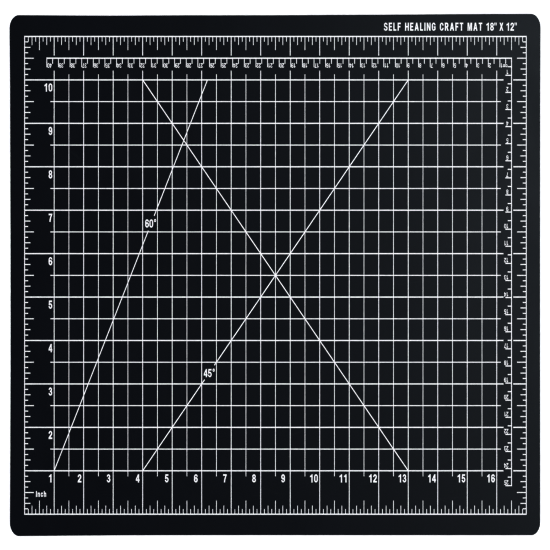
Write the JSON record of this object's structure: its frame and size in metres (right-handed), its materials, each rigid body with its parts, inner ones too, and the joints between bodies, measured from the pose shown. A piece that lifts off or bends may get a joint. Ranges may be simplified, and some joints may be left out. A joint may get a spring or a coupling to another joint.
{
  "type": "self healing mat",
  "caption": "Flat laminated cutting surface with rounded corners, a healing top face and a white printed grid, angle guides and two rules for measuring and trimming",
  "frame": {"origin": "centre of the underside, where the mat lies on the table", "axes": "+X along the long side, the way the inch numerals read; +Y towards the edge that carries the legend; +Z out of the printed face"},
  "size_m": [0.456, 0.304, 0.003],
  "materials": {
    "healing_vinyl": "matte near-black flexible vinyl with a very fine grain",
    "stiffener_film": "grey semi-rigid film, seen only at the cut edge",
    "core_vinyl": "dark filled vinyl core, seen only at the cut edge",
    "print_ink": "opaque white screen-print ink, matte"
  },
  "bodies": {
    "root": {"bottom_healing_layer": "healing_vinyl", "lower_stiffener_layer": "stiffener_film", "core_sheet": "core_vinyl", "upper_stiffener_layer": "stiffener_film", "top_healing_layer": "healing_vinyl", "inch_border_print": "print_ink", "inch_grid_print": "print_ink", "half_inch_grid_print": "print_ink", "angle_45_print": "print_ink", "angle_60_print": "print_ink", "metric_scale_print": "print_ink", "inch_numerals_print": "print_ink", "metric_numerals_print": "print_ink", "angle_labels_print": "print_ink", "unit_labels_print": "print_ink", "size_legend_print": "print_ink"}
  },
  "joints": []
}
